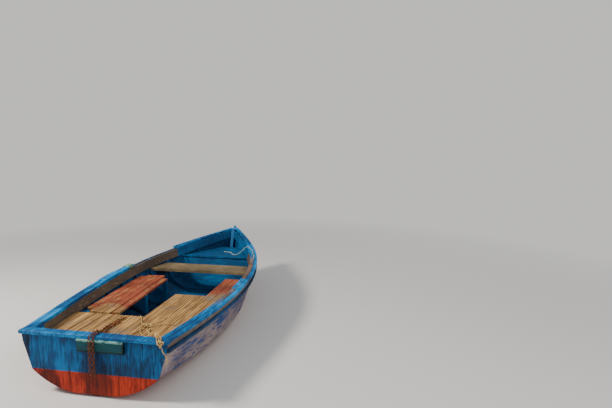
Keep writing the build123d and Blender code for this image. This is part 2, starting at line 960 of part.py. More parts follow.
with BuildPart() as bow_bulkhead:
    loft([bulkhead_face(bulkhead_foot), bulkhead_face(bulkhead_foot + bulkhead_thick)], ruled=True)
finish("bow_bulkhead", bow_bulkhead.part)

# Chain

sheets_chain_up = bench_up + chain_half_width + chain_clear
rail_chain_up = rail_up + cap_thick + chain_half_width + chain_clear + joint


def chain_strand(lying, side, low):
    """One strand's points as place, side and height: lying on the sheets, over the rail and down."""
    return [(place, y, sheets_chain_up) for place, y in lying] + [
        (rail_fore + 42, side + 12, sheets_chain_up + 24),
        (rail_fore + 20, side + 3, rail_chain_up - 13),
        (rail_fore + 8, side, rail_chain_up),
        (-rail_overhang - 8, side, rail_chain_up),
        (-chain_outside, side, rail_chain_up - 12),
        (-chain_outside, side, low),
    ]


def rounded_route(points):
    """Straight runs joined by arcs as large as the runs beside each corner allow."""
    corners = [Vector(place - middle, side, keel_depth + up) for place, side, up in points]
    radii = []
    for before, corner, after in zip(corners, corners[1:], corners[2:]):
        turn = radians((corner - before).get_angle(after - corner))
        shorter = min((corner - before).length, (after - corner).length)
        radii.append(0.45 * shorter / tan(turn / 2))
    with BuildLine() as route:
        FilletPolyline(*corners, radius=radii)
    return route.wire(), radii


with BuildPart() as link:
    outer_half = link_inner_length / 2 + link_wire
    inner_half = link_inner_length / 2
    with BuildSketch():
        for half, wide, corner in (
            (outer_half, link_width / 2, link_corner),
            (inner_half, link_width / 2 - link_wire, link_inner_corner),
        ):
            with BuildLine():
                quarter = ((half, wide - corner), (half - corner, wide))
                rim = [(x, y) for x, y in quarter] + [(-x, y) for x, y in quarter[::-1]]
                rim += [(-x, -y) for x, y in quarter] + [(x, -y) for x, y in quarter[::-1]]
                Polyline(*rim, close=True)
            make_face(mode=Mode.ADD if half == outer_half else Mode.SUBTRACT)
    extrude(amount=link_wire / 2, both=True)


def laid_chain(points):
    """Links between even steps along a route, by turns flat and on edge."""
    route, _ = rounded_route(points)
    pitch = link_inner_length - link_play
    count = int(route.length / pitch)
    steps = [route.position_at(pitch * i, position_mode=PositionMode.LENGTH) for i in range(count + 1)]
    links = []
    upward = Vector(0, 0, 1)
    for number, (near, far) in enumerate(zip(steps, steps[1:])):
        along = (far - near).normalized()
        upward = (upward - along * upward.dot(along)).normalized()
        turned = upward.rotate(Axis((0, 0, 0), along), 90 * (number % 2))
        links.append(Plane(origin=(near + far) / 2, x_dir=along, z_dir=turned).location * link.part)
    return links


port_lying = [(500, 60), (430, 78), (345, 94), (270, 96), (190, 66), (140, 34)]
starboard_lying = [(420, 50), (350, 66), (280, 66), (205, 40), (145, 6)]
chain_links = laid_chain(chain_strand(port_lying, -3, chain_low))
chain_links += laid_chain(chain_strand(starboard_lying, -3 - chain_gap, chain_low - chain_gap))
finish("chain", Compound(chain_links))
print("chain links", len(chain_links))

# Ropes

boards_rope_up = bench_up + rope_thick / 2 + rope_clear
rim_rope_up = rail_up + cap_thick + rope_thick / 2 + 2
knot_aft = inner_knot_place - inner_knot_size[0] / 2
knot_fore = inner_knot_place + inner_knot_size[0] / 2
knot_port = inner_knot_side + inner_knot_size[1] / 2
knot_starboard = inner_knot_side - inner_knot_size[1] / 2
outer_knot_fore = -rail_overhang - 2 * joint
outer_knot_place = outer_knot_fore - outer_knot_size[0] / 2


def knot(name, place, side, up, size):
    """The outer shape of a knot, as one block with round edges."""
    with BuildPart(Location((place - middle, side, keel_depth + up))) as block:
        Box(*size)
        fillet(block.edges(), knot_round)
    finish(name, block.part)


def rope(name, points, thick):
    """A tube along straight runs and arcs."""
    route, radii = rounded_route(points)
    start, way = route.position_at(0), route.tangent_at(0)
    with BuildPart() as tube:
        with BuildSketch(Plane(origin=start, z_dir=way)):
            Circle(thick / 2)
        sweep(path=route)
    finish(name, tube.part)
    print(name, "length", round(route.length), "radii", [round(radius) for radius in radii])


def on_boards(points):
    return [(place, side, boards_rope_up) for place, side in points]


knot("rope_inner_knot", inner_knot_place, inner_knot_side, bench_up + joint + 14, inner_knot_size)
knot("rope_outer_knot", outer_knot_place, outer_knot_side, outer_knot_up, outer_knot_size)
rope(
    "rope_lashing",
    on_boards([(knot_aft, -222), (knot_aft - 18, -222), (290, -252), (240, -300)])
    + [
        (182, -352, 382),
        (130, -402, 432),
        (80, -446, rim_rope_up + 4),
        (34, -490, rim_rope_up),
        (8, -510, rim_rope_up - 1),
        (outer_knot_fore, -510, rim_rope_up - 1),
    ],
    rope_thick,
)
outer_knot_low = outer_knot_up - outer_knot_size[2] / 2
rope(
    "rope_tail",
    [
        (outer_knot_place, -530, outer_knot_low),
        (outer_knot_place, -530, outer_knot_low - 22),
        (outer_knot_place + 2, -548, outer_knot_low - 44),
        (outer_knot_place + 3, -562, outer_knot_low - 66),
        (outer_knot_place + 3, -561, outer_knot_low - 92),
    ],
    rope_end_thick,
)
rope_ends = (
    ((395, knot_port), (395, knot_port + 18), (446, -108), (500, -84), (552, -42)),
    ((knot_fore, -220), (knot_fore + 18, -220), (484, -252), (530, -258), (575, -276)),
    ((398, knot_starboard), (398, knot_starboard - 18), (438, -306), (448, -350), (440, -392)),
    ((knot_aft, -192), (knot_aft - 18, -192), (270, -160), (214, -152)),
)
for number, points in enumerate(rope_ends, 1):
    rope(f"rope_end_{number}", on_boards(points), rope_end_thick)

seat_rope_up = bow_seat_up + painter_thick / 2 + 2 * joint


def on_cap(place, inset):
    """A point of a rope that lies on the starboard cap, inset from the cap's outer edge."""
    half = sheer_line[0](place) + cap_overhang - inset
    return place, -half, sheer_line[1](place) + cap_joint + cap_thick + painter_thick / 2 + rope_clear


rope(
    "painter",
    [
        (2590, -30, seat_rope_up),
        (2600, -95, seat_rope_up),
        (2545, -150, seat_rope_up),
        (2470, -185, seat_rope_up),
        (2432, -250, seat_rope_up + 6),
        (2410, -318, seat_rope_up + 56),
        on_cap(2372, 90)[:2] + (on_cap(2372, 90)[2] + 10,),
        on_cap(2310, 46),
        on_cap(2220, 36),
        on_cap(2130, 44),
        on_cap(2040, 30),
        on_cap(1960, 38),
    ],
    painter_thick,
)

print("length over all", round(bow_reach + stern_reach), "origin", round(middle, 2))
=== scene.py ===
"""Looks of the rowing boat: weathered paint, worn boards, rust and rope on the CAD frame.

Metres, +X towards the bow, +Y to port, +Z up. "Place", "side" and "up" are the part's own
millimetres: forward of the transom's outer face, to port, and above the bottom plank's underside.
"""

from math import cos, pi, radians, sin

import bpy
from mathutils import Matrix, Vector


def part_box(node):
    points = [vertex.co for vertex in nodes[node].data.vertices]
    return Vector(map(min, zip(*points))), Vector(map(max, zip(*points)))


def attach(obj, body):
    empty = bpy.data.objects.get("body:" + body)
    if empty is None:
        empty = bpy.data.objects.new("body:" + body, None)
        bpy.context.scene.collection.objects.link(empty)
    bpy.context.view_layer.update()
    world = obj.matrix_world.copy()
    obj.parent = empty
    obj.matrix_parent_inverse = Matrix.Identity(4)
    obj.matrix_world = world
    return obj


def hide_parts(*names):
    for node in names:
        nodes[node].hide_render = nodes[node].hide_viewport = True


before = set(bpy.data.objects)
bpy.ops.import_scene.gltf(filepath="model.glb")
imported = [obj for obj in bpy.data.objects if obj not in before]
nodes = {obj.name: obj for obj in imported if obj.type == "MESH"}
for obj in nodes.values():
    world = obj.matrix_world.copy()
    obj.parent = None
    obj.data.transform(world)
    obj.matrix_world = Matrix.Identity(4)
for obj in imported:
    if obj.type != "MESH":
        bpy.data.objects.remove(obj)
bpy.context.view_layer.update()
transom_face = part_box("transom")[0].x

# Camera
# The eye stands aft and to starboard of the boat, at about the eye height of a standing person,
# and looks forward, slightly down and to port.
eye_aft = 2.5065
eye_starboard = 1.8541
eye_up = 1.7094
turn_to_port = radians(8.46)
look_down = radians(6.74)
camera_roll = radians(0.70)
camera_lens = 24.616

forward = Vector(
    (
        cos(look_down) * cos(turn_to_port),
        cos(look_down) * sin(turn_to_port),
        -sin(look_down),
    )
)
level_right = Vector((sin(turn_to_port), -cos(turn_to_port), 0))
level_up = level_right.cross(forward)
right = level_right * cos(camera_roll) + level_up * sin(camera_roll)
upward = level_up * cos(camera_roll) - level_right * sin(camera_roll)
camera_data = bpy.data.cameras.new("camera")
camera_data.lens = camera_lens
camera = bpy.data.objects.new("camera", camera_data)
turned = Matrix((right, upward, -forward)).transposed().to_4x4()
camera.matrix_world = Matrix.Translation((transom_face - eye_aft, -eye_starboard, eye_up)) @ turned
bpy.context.collection.objects.link(camera)
bpy.context.scene.camera = camera


# Light and floor
# The key lamp stands high to port and aft, a wider and weaker one fills from starboard, and the
# weakest stands ahead to starboard. The floor is plain and pale and fades into the backdrop.
backdrop_colour = (0.72, 0.71, 0.69, 1)
floor_colour = (0.74, 0.72, 0.68, 1)
sky_colour = (0.90, 0.93, 1.0, 1)
sky_strength = 0.36
floor_size = 300
haze_from = 2.6
haze_to = 7.0
boat_middle = (0, 0, 0.3)


def lamp(name, place, target, size, power, tint):
    data = bpy.data.lights.new(name, "AREA")
    data.shape = "DISK"
    data.size = size
    data.energy = power
    data.color = tint
    made = bpy.data.objects.new(name, data)
    made.location = place
    way = Vector(target) - Vector(place)
    made.rotation_euler = way.to_track_quat("-Z", "Y").to_euler()
    bpy.context.collection.objects.link(made)


lamp("key_lamp", (-2.6, 3.6, 4.6), boat_middle, 1.4, 430, (1.0, 0.96, 0.90))
lamp("fill_lamp", (-3.6, -4.2, 3.2), boat_middle, 4.0, 120, (0.95, 0.97, 1.0))
lamp("bow_lamp", (4.0, -3.5, 4.5), (0.3, 0, 0.3), 3.0, 60, (1.0, 1.0, 1.0))

world = bpy.data.worlds.new("world")
world.use_nodes = True
world_tree = world.node_tree
sky = world_tree.nodes["Background"]
sky.inputs["Color"].default_value = sky_colour
sky.inputs["Strength"].default_value = sky_strength
paper = world_tree.nodes.new("ShaderNodeBackground")
paper.inputs["Color"].default_value = backdrop_colour
seen = world_tree.nodes.new("ShaderNodeLightPath")
either = world_tree.nodes.new("ShaderNodeMixShader")
world_tree.links.new(seen.outputs["Is Camera Ray"], either.inputs[0])
world_tree.links.new(sky.outputs[0], either.inputs[1])
world_tree.links.new(paper.outputs[0], either.inputs[2])
world_tree.links.new(either.outputs[0], world_tree.nodes["World Output"].inputs["Surface"])
bpy.context.scene.world = world

bpy.ops.mesh.primitive_plane_add(size=floor_size)
floor = bpy.context.object
floor.name = "floor"
floor_material = bpy.data.materials.new("floor")
floor_material.use_nodes = True
floor_tree = floor_material.node_tree
floor_shader = floor_tree.nodes["Principled BSDF"]
floor_shader.inputs["Base Color"].default_value = floor_colour
floor_shader.inputs["Roughness"].default_value = 0.9
haze = floor_tree.nodes.new("ShaderNodeEmission")
haze.inputs["Color"].default_value = backdrop_colour
floor_place = floor_tree.nodes.new("ShaderNodeTexCoord")
reach = floor_tree.nodes.new("ShaderNodeVectorMath")
reach.operation = "LENGTH"
far_share = floor_tree.nodes.new("ShaderNodeMapRange")
far_share.inputs["From Min"].default_value = haze_from
far_share.inputs["From Max"].default_value = haze_to
floor_mix = floor_tree.nodes.new("ShaderNodeMixShader")
floor_tree.links.new(floor_place.outputs["Object"], reach.inputs[0])
floor_tree.links.new(reach.outputs["Value"], far_share.inputs["Value"])
floor_tree.links.new(far_share.outputs[0], floor_mix.inputs[0])
floor_tree.links.new(floor_shader.outputs[0], floor_mix.inputs[1])
floor_tree.links.new(haze.outputs[0], floor_mix.inputs[2])
floor_tree.links.new(floor_mix.outputs[0], floor_tree.nodes["Material Output"].inputs["Surface"])
floor.data.materials.append(floor_material)


# Planking
# The skin is softwood planks laid edge to edge from the flat bottom up to the sheer and nailed to
# the frames. Outside it is worn grey-mauve paint above and red below, and inside it is blue.
def colour(code):
    """A colour from its hex code as the screen shows it."""
    values = []
    for start in (0, 2, 4):
        value = int(code[start : start + 2], 16) / 255
        values.append(value / 12.92 if value <= 0.04045 else ((value + 0.055) / 1.055) ** 2.4)
    return (*values, 1)


def feed(tree, socket, value):
    if isinstance(value, bpy.types.NodeSocket):
        tree.links.new(value, socket)
    else:
        socket.default_value = value


def maths(tree, operation, first, second=0.0, third=0.0):
    node = tree.nodes.new("ShaderNodeMath")
    node.operation = operation
    for socket, value in zip(node.inputs, (first, second, third)):
        feed(tree, socket, value)
    return node.outputs[0]


def vector_maths(tree, operation, first, second):
    node = tree.nodes.new("ShaderNodeVectorMath")
    node.operation = operation
    feed(tree, node.inputs[0], first)
    feed(tree, node.inputs[1], second)
    return node.outputs[0]


def noise(tree, vector, scale, detail=6.0, rough=0.6):
    node = tree.nodes.new("ShaderNodeTexNoise")
    feed(tree, node.inputs["Vector"], vector)
    feed(tree, node.inputs["Scale"], scale)
    node.inputs["Detail"].default_value = detail
    node.inputs["Roughness"].default_value = rough
    return node.outputs[0]


def between(tree, value, low, high):
    """0 below low, 1 above high, and smooth between them."""
    node = tree.nodes.new("ShaderNodeMapRange")
    node.interpolation_type = "SMOOTHSTEP"
    feed(tree, node.inputs["Value"], value)
    feed(tree, node.inputs["From Min"], low)
    feed(tree, node.inputs["From Max"], high)
    return node.outputs[0]


def blend(tree, share, first, second, how="MIX"):
    node = tree.nodes.new("ShaderNodeMix")
    node.data_type = "RGBA"
    node.blend_type = how
    feed(tree, node.inputs[0], share)
    feed(tree, node.inputs[6], first)
    feed(tree, node.inputs[7], second)
    return node.outputs[2]


def object_place(tree):
    return tree.nodes.new("ShaderNodeTexCoord").outputs["Object"]


def split(tree, vector):
    node = tree.nodes.new("ShaderNodeSeparateXYZ")
    feed(tree, node.inputs[0], vector)
    return node.outputs


def new_group(name, inputs, outputs):
    """A shader node group with named inputs and outputs, and its input and output nodes."""
    tree = bpy.data.node_groups.new(name, "ShaderNodeTree")
    for label, value in inputs.items():
        if isinstance(value, float):
            kind = "NodeSocketFloat"
        else:
            kind = "NodeSocketColor" if len(value) == 4 else "NodeSocketVector"
        socket = tree.interface.new_socket(label, in_out="INPUT", socket_type=kind)
        socket.default_value = value
    for label in outputs:
        kind = "NodeSocketColor" if label == "Color" else "NodeSocketFloat"
        tree.interface.new_socket(label, in_out="OUTPUT", socket_type=kind)
    return tree, tree.nodes.new("NodeGroupInput").outputs, tree.nodes.new("NodeGroupOutput").inputs


# Worn paint: two tones that have worn through to the wood in patches along the grain, with the
# wood a little lower than the paint and duller.
bare_grey = colour("6d6254")
worn_paint, given, result = new_group(
    "worn_paint",
    {
        "Paint": colour("0f5f96"),
        "Second": colour("2f8fbd"),
        "Bare": bare_grey,
        "Wear": 0.2,
        "Stretch": (1.0, 6.0, 6.0),
        "Patch": (1.0, 1.0, 1.0),
        "Seed": 0.0,
    },
    ("Color", "Roughness", "Height"),
)
tree = worn_paint
place = object_place(tree)
shifted = vector_maths(tree, "ADD", place, given["Seed"])
stretched = vector_maths(tree, "MULTIPLY", shifted, given["Stretch"])
grain = noise(tree, stretched, 9.0, 8.0, 0.65)
patches = noise(tree, vector_maths(tree, "MULTIPLY", shifted, given["Patch"]), 7.0, 8.0, 0.7)
clouds = noise(tree, shifted, 2.2, 3.0)
tone = maths(tree, "ADD", maths(tree, "MULTIPLY", clouds, 0.55), maths(tree, "MULTIPLY", grain, 0.45))
painted = blend(tree, between(tree, tone, 0.42, 0.62), given["Paint"], given["Second"])
mixed = maths(tree, "ADD", maths(tree, "MULTIPLY", patches, 0.5), maths(tree, "MULTIPLY", grain, 0.5))
edge = maths(tree, "MULTIPLY_ADD", given["Wear"], -0.36, 0.72)
bare_share = between(tree, mixed, edge, maths(tree, "ADD", edge, 0.035))
wood = blend(tree, between(tree, grain, 0.35, 0.7), given["Bare"], (0.9, 0.85, 0.8, 1), "MULTIPLY")
wood_dark = blend(tree, between(tree, grain, 0.52, 0.4), wood, (0.45, 0.42, 0.4, 1), "MULTIPLY")
shown = blend(tree, bare_share, painted, wood_dark)
dirt = between(tree, noise(tree, shifted, 3.1, 5.0, 0.7), 0.5, 0.72)
shaded = blend(tree, maths(tree, "MULTIPLY", dirt, 0.5), shown, (0.35, 0.36, 0.38, 1), "MULTIPLY")
feed(tree, result["Color"], shaded)
feed(tree, result["Roughness"], maths(tree, "MULTIPLY_ADD", bare_share, 0.25, 0.58))
height = maths(tree, "MULTIPLY_ADD", bare_share, -0.6, maths(tree, "MULTIPLY", grain, 0.45))
feed(tree, result["Height"], height)


def new_material(name):
    material = bpy.data.materials.new(name)
    material.use_nodes = True
    shader = material.node_tree.nodes["Principled BSDF"]
    shader.inputs["Specular IOR Level"].default_value = 0.22
    return material, material.node_tree, shader


def placed(tree, group, **values):
    node = tree.nodes.new("ShaderNodeGroup")
    node.node_tree = group
    for label, value in values.items():
        feed(tree, node.inputs[label], value)
    return node.outputs


def dress(tree, shader, shown, rough, height, depth=0.002):
    """Feeds the shader, with the height as a bump of that depth in metres."""
    feed(tree, shader.inputs["Base Color"], shown)
    feed(tree, shader.inputs["Roughness"], rough)
    bump = tree.nodes.new("ShaderNodeBump")
    bump.inputs["Strength"].default_value = 0.6
    bump.inputs["Distance"].default_value = depth
    feed(tree, bump.inputs["Height"], height)
    feed(tree, shader.inputs["Normal"], bump.outputs[0])


def group_material(name, group, **values):
    material, tree, shader = new_material(name)
    outputs = placed(tree, group, **values)
    dress(tree, shader, outputs["Color"], outputs["Roughness"], outputs["Height"])
    return material


along = (1.0, 7.0, 7.0)


# The side faces of a plank are told apart by whether they face away from the boat's middle.
def faces_out(tree, low_plank):
    normal = split(tree, tree.nodes.new("ShaderNodeNewGeometry").outputs["Normal"])
    if low_plank:
        return maths(tree, "LESS_THAN", normal["Z"], 0.0)
    outward = maths(tree, "MULTIPLY", normal["Y"], split(tree, object_place(tree))["Y"])
    return maths(tree, "GREATER_THAN", outward, 0.0)


def plank_material(name, low_plank, **outside):
    material, tree, shader = new_material(name)
    outer = placed(tree, worn_paint, **outside)
    inner = placed(
        tree,
        worn_paint,
        Paint=colour("02345a"),
        Second=colour("075a8c"),
        Bare=colour("4d4438"),
        Wear=0.2,
        Stretch=along,
        Seed=23.0,
    )
    mask = faces_out(tree, low_plank)
    shown = blend(tree, mask, inner["Color"], outer["Color"])
    inner_half = maths(tree, "MULTIPLY", inner["Roughness"], 0.5)
    rough = maths(tree, "MULTIPLY_ADD", outer["Roughness"], 0.5, inner_half)
    dress(tree, shader, shown, rough, outer["Height"])
    return material


topside = plank_material(
    "topside",
    False,
    Paint=colour("62586a"),
    Second=colour("a08d86"),
    Bare=colour("2c4c86"),
    Wear=0.54,
    Stretch=(1.0, 5.0, 5.0),
    Patch=(0.35, 1.6, 1.6),
    Seed=29.0,
)
sheer_side = plank_material(
    "sheer_side",
    False,
    Paint=colour("64564e"),
    Second=colour("84705f"),
    Bare=colour("2c4a70"),
    Wear=0.34,
    Stretch=along,
    Seed=31.0,
)
red_low = plank_material(
    "red_low",
    True,
    Paint=colour("80220f"),
    Second=colour("a8361c"),
    Bare=colour("5b4a40"),
    Wear=0.3,
    Stretch=along,
    Seed=37.0,
)


def finish(material, names):
    """Gives CAD nodes their material."""
    for name in names:
        materials = nodes[name].data.materials
        materials.clear()
        materials.append(material)


def both(name):
    """The names of a piece's two nodes, port and starboard."""
    return f"{name}_port", f"{name}_starboard"


finish(sheer_side, both("sheer_plank"))
finish(topside, both("topside_plank"))
finish(red_low, (*both("bilge_plank"), *both("garboard"), "bottom_plank"))

# Keel and bottom runners
# Three straight strips of hardwood under the bottom plank, painted a red-brown that has mostly
# rubbed off on the ground.
keel_brown = group_material(
    "keel_brown",
    worn_paint,
    Paint=colour("6b2a1e"),
    Second=colour("8a3a28"),
    Bare=colour("6a5a4a"),
    Wear=0.5,
    Stretch=along,
    Seed=17.0,
)
finish(keel_brown, ("keel", *both("bottom_runner")))

# Stem and apron
# The stem stands outside the planks' fore ends, in the bright blue of the cap, and the apron that
# backs it inside is in the dull blue of the inside.
# The cap's dark blue and bright cyan, mixed in random patches, are its paint in painted shade and in
# painted sunlight.
cap_paint_lit_and_shaded = {
    "Paint": colour("034274"),
    "Second": colour("1490d2"),
    "Bare": bare_grey,
    "Wear": 0.32,
    "Stretch": along,
}
cap_blue = group_material("cap_blue", worn_paint, **cap_paint_lit_and_shaded)
inner_blue = group_material(
    "inner_blue",
    worn_paint,
    Paint=colour("033a62"),
    Second=colour("085e92"),
    Bare=colour("54483c"),
    Wear=0.18,
    Stretch=along,
    Seed=3.0,
)
finish(cap_blue, ("stem",))
finish(inner_blue, ("apron",))

# Transom
# A flat board across the stern. It is blue with upright lighter streaks, and red below a line at
# the height of the chine, with dark drips and broad patches of painted shade through both.
boot_line = 0.177
transom_material, tree, shader = new_material("transom_paint")
blue = placed(
    tree,
    worn_paint,
    Paint=colour("022c50"),
    Second=colour("0568a4"),
    Bare=colour("3f6f92"),
    Wear=0.16,
    Stretch=(1.0, 8.0, 1.0),
    Seed=41.0,
)
red = placed(
    tree,
    worn_paint,
    Paint=colour("861c0e"),
    Second=colour("c43a1c"),
    Bare=colour("4a2a26"),
    Wear=0.30,
    Stretch=(1.0, 8.0, 1.2),
    Seed=43.0,
)
place = object_place(tree)
ways = split(tree, place)
ragged = maths(tree, "MULTIPLY_ADD", noise(tree, place, 18.0), 0.008, boot_line - 0.004)
below = maths(tree, "LESS_THAN", ways["Z"], ragged)
normal = split(tree, tree.nodes.new("ShaderNodeNewGeometry").outputs["Normal"])
outer_face = maths(tree, "LESS_THAN", normal["X"], 0.5)
red_share = maths(tree, "MULTIPLY", below, outer_face)
drips = noise(tree, vector_maths(tree, "MULTIPLY", place, (1, 26, 1.6)), 1.3, 5.0, 0.7)
drip_share = maths(tree, "MULTIPLY", between(tree, drips, 0.46, 0.66), 0.8)
shown = blend(tree, red_share, blue["Color"], red["Color"])
# Broad dark patches of painted shade lie over both the blue and the red.
stains_and_shade = noise(tree, vector_maths(tree, "MULTIPLY", place, (1, 3.2, 1.5)), 1.6, 4.0, 0.55)
shade_share = maths(tree, "MULTIPLY", between(tree, stains_and_shade, 0.47, 0.60), 0.75)
shown = blend(tree, shade_share, shown, (0.16, 0.17, 0.26, 1), "MULTIPLY")
shown = blend(tree, drip_share, shown, (0.16, 0.17, 0.20, 1), "MULTIPLY")
dress(tree, shader, shown, blue["Roughness"], blue["Height"])
finish(transom_material, ("transom",))

# Frames and floor timbers
# Upright side frames and cross timbers on the bottom, sawn from softwood and painted dull blue.
upright = (7.0, 7.0, 0.9)
frame_blue = group_material(
    "frame_blue",
    worn_paint,
    Paint=colour("033354"),
    Second=colour("075184"),
    Bare=colour("54483c"),
    Wear=0.16,
    Stretch=upright,
    Seed=5.0,
)
finish(frame_blue, (*both("side_frames"), "floor_timbers"))

# Inwales
# Planks that line the frames under the cap: bare brown wood aft, and blue at the bow.
bare_inwale = group_material(
    "bare_inwale",
    worn_paint,
    Paint=colour("53463b"),
    Second=colour("6c5b4a"),
    Bare=colour("8a7258"),
    Wear=0.45,
    Stretch=(1.0, 12.0, 12.0),
    Seed=11.0,
)
crossways = (7.0, 1.0, 7.0)
bow_blue = group_material(
    "bow_blue",
    worn_paint,
    Paint=colour("03446f"),
    Second=colour("0a6fa6"),
    Bare=bare_grey,
    Wear=0.12,
    Stretch=crossways,
    Seed=7.0,
)
finish(bare_inwale, both("inwale"))
finish(bow_blue, both("bow_inwale"))

# Rubbing strakes
# A bevelled strip along each side under the cap, worn through in patches; its dark blue is painted shade.
shaded_navy = group_material(
    "shaded_navy",
    worn_paint,
    Paint=colour("0c2c4c"),
    Second=colour("17507e"),
    Bare=bare_grey,
    Wear=0.28,
    Stretch=along,
    Seed=9.0,
)
finish(shaded_navy, both("rubbing_strake"))

# Gunwale cap, transom rail, quarter knees and thole blocks
# The cap is two strips of bright blue on the planks, with painted shade along the seam between them,
# and the inner one is bare to starboard. The curve gives the cap's outer half breadth along the boat.
cap_split = 0.035
cap_readings = 14
seam_half = 0.002
bare_from, bare_to = transom_face + 0.62, transom_face + 2.15
cap_start, cap_end = (corner.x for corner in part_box("gunwale_starboard"))
widest = {}
for vertex in nodes["gunwale_starboard"].data.vertices:
    share = (vertex.co.x - cap_start) / (cap_end - cap_start)
    step = round(share * cap_readings)
    if -vertex.co.y > widest.get(step, (0, 0))[1]:
        widest[step] = (share, -vertex.co.y)
cap_worn, tree, shader = new_material("cap_worn")
blue = placed(tree, worn_paint, **cap_paint_lit_and_shaded)
brown = placed(
    tree,
    worn_paint,
    Paint=colour("5d4a40"),
    Second=colour("94705c"),
    Bare=colour("3a2f28"),
    Wear=0.4,
    Stretch=(1.0, 12.0, 12.0),
    Seed=45.0,
)
place = object_place(tree)
ways = split(tree, place)
rim = tree.nodes.new("ShaderNodeFloatCurve")
rim_line = rim.mapping.curves[0]
rim_points = [widest[step] for step in sorted(widest)]
rim_line.points[0].location, rim_line.points[1].location = rim_points[0], rim_points[-1]
for share, half in rim_points[1:-1]:
    rim_line.points.new(share, half)
rim.mapping.update()
cap_share = maths(tree, "DIVIDE", maths(tree, "SUBTRACT", ways["X"], cap_start), cap_end - cap_start)
feed(tree, rim.inputs["Value"], cap_share)
inset = maths(tree, "SUBTRACT", rim.outputs[0], maths(tree, "ABSOLUTE", ways["Y"]))
inner_strip = between(tree, inset, cap_split - seam_half, cap_split + seam_half)
bare_length = maths(
    tree,
    "MULTIPLY",
    between(tree, ways["X"], bare_from, bare_from + 0.3),
    between(tree, ways["X"], bare_to, bare_to - 0.3),
)
to_starboard = maths(tree, "LESS_THAN", ways["Y"], 0.0)
rubbed = between(tree, noise(tree, vector_maths(tree, "MULTIPLY", place, (1, 6, 6)), 5.0), 0.36, 0.44)
brown_share = maths(tree, "MULTIPLY", maths(tree, "MULTIPLY", inner_strip, bare_length), to_starboard)
shown = blend(tree, maths(tree, "MULTIPLY", brown_share, rubbed), blue["Color"], brown["Color"])
# Painted shade darkens a narrow band along the seam between the two strips.
from_seam = maths(tree, "ABSOLUTE", maths(tree, "SUBTRACT", inset, cap_split))
seam_shade_share = maths(tree, "MULTIPLY", between(tree, from_seam, 2.5 * seam_half, seam_half), 0.85)
shown = blend(tree, seam_shade_share, shown, (0.10, 0.10, 0.12, 1), "MULTIPLY")
dress(tree, shader, shown, blue["Roughness"], blue["Height"])
finish(cap_worn, ("gunwale_starboard", "gunwale_port_aft", "gunwale_port_bow"))
finish(cap_blue, ("transom_rail", *both("thole_blocks")))
finish(cap_blue, both("quarter_knee"))

# Thole bushes
# Iron bushes in the thole blocks, rusted in three browns with pits.
rust, tree, shader = new_material("rust")
place = object_place(tree)
spots = noise(tree, place, 90.0, 8.0, 0.7)
shown = blend(tree, between(tree, spots, 0.35, 0.55), colour("3a2319"), colour("7a4527"))
shown = blend(tree, between(tree, noise(tree, place, 30.0), 0.55, 0.7), shown, colour("a9683a"))
dress(tree, shader, shown, 0.8, spots, 0.0008)
shader.inputs["Metallic"].default_value = 0.25
finish(rust, ("thole_bushes",))

# Rowlock block
# A short block on the port side where the cap is missing, in pale green paint.
pale_block = group_material(
    "pale_block",
    worn_paint,
    Paint=colour("5f9484"),
    Second=colour("9cc0a8"),
    Bare=bare_grey,
    Wear=0.3,
    Stretch=(2.0, 2.0, 2.0),
    Seed=19.0,
)
finish(pale_block, ("rowlock_pad",))

# Motor pad
# A board nailed to the transom for a motor's clamp. It is dark teal, with a pale worn strip along
# the top edge, and painted shade along the bottom and the starboard end.
pad_low, pad_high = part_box("motor_pad")
pad_paint, tree, shader = new_material("pad_paint")
teal_part = placed(
    tree,
    worn_paint,
    Paint=colour("032a33"),
    Second=colour("06474e"),
    Bare=colour("2c5a58"),
    Wear=0.22,
    Stretch=(3.0, 1.0, 4.0),
    Seed=15.0,
)
place = object_place(tree)
ways = split(tree, place)
ragged = maths(tree, "MULTIPLY_ADD", noise(tree, place, 40.0), 0.024, -0.012)
above = maths(tree, "ADD", ways["Z"], ragged)
worn_top = between(tree, above, pad_high.z - 0.016, pad_high.z - 0.009)
patchy = between(tree, noise(tree, vector_maths(tree, "MULTIPLY", place, (1, 8, 20)), 2.0), 0.36, 0.5)
shown = blend(tree, maths(tree, "MULTIPLY", worn_top, patchy), teal_part["Color"], colour("6fa39a"))
# Painted shade darkens the pad along its bottom edge and its starboard end.
low_shade = between(tree, above, pad_low.z + 0.016, pad_low.z + 0.004)
end_shade = between(tree, maths(tree, "ADD", ways["Y"], ragged), pad_low.y + 0.014, pad_low.y + 0.002)
pad_shade = maths(tree, "MAXIMUM", low_shade, end_shade)
shown = blend(tree, pad_shade, shown, (0.12, 0.12, 0.14, 1), "MULTIPLY")
dress(tree, shader, shown, teal_part["Roughness"], teal_part["Height"])
finish(pad_paint, ("motor_pad",))

# Seat risers, bearers and legs
# The timbers that carry the boards and benches, in the dull blue of the inside.
finish(inner_blue, (*both("seat_riser"), "seat_bearers", "seat_legs"))

# Stern sheets and starboard boards
# Bare softwood boards laid fore and aft on bearers. Weathering has opened close cracks along them,
# between narrow strips of slightly different tone, each with its own grain.
grooved_wood, given, result = new_group(
    "grooved_wood",
    {
        "Light": colour("c39659"),
        "Dark": colour("745230"),
        "Crack": colour("1d1610"),
        "Pitch": 0.022,
        "Share": 0.5,
    },
    ("Color", "Roughness", "Height"),
)
tree = grooved_wood
place = object_place(tree)
ways = split(tree, place)
waves = noise(tree, vector_maths(tree, "MULTIPLY", place, (1.2, 9, 9)), 1.0)
wander = maths(tree, "MULTIPLY", waves, 0.011)
steps = maths(tree, "DIVIDE", maths(tree, "ADD", ways["Y"], wander), given["Pitch"])
strip = maths(tree, "FLOOR", steps)
within = maths(tree, "FRACT", steps)
from_edge = maths(tree, "MINIMUM", within, maths(tree, "SUBTRACT", 1.0, within))
worn_along = noise(tree, vector_maths(tree, "MULTIPLY", place, (1.5, 30, 30)), 2.0, 4.0)
